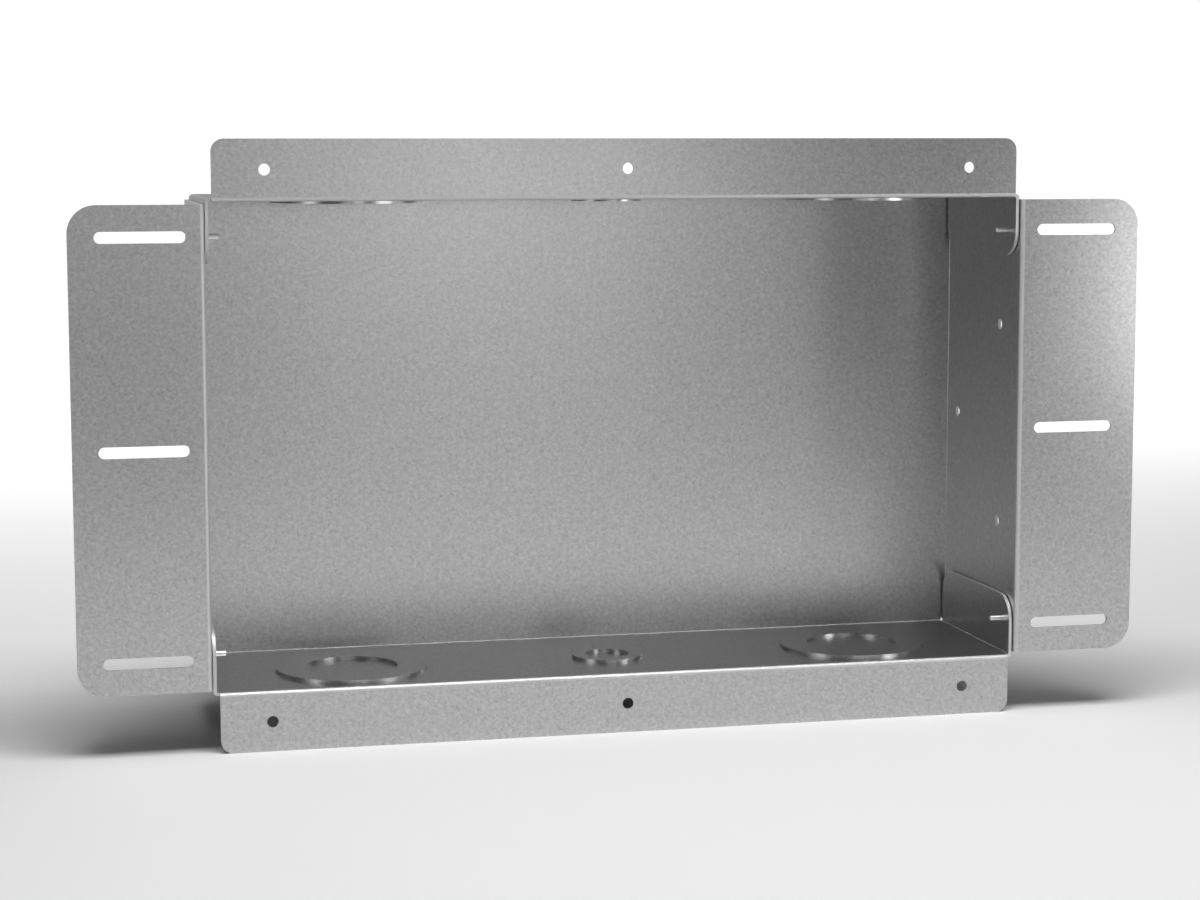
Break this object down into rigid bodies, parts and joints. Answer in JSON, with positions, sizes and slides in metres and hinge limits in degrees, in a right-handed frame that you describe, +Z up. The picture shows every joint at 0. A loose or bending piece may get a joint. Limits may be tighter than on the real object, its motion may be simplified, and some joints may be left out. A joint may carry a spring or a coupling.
{
  "type": "flush back box",
  "caption": "Rectangular flush back box folded from one galvanised steel sheet, with outward slotted front flanges, tabs folded in at the corners and concentric round knock-outs",
  "frame": {"origin": "middle of the opening, on the front faces of the flanges, which is also the middle of the four outer fixing slots", "axes": "+X to the right as seen from the front, +Y from the opening into the wall, +Z up"},
  "size_m": [0.48, 0.0918, 0.263],
  "materials": {
    "galvanised_sheet": "zinc-coated sheet, matt, with a fine mottled spangle",
    "pin_steel": "plain zinc-plated steel, smooth"
  },
  "bodies": {
    "root": {"back_box": "galvanised_sheet", "corner_pins": "pin_steel"}
  },
  "joints": []
}
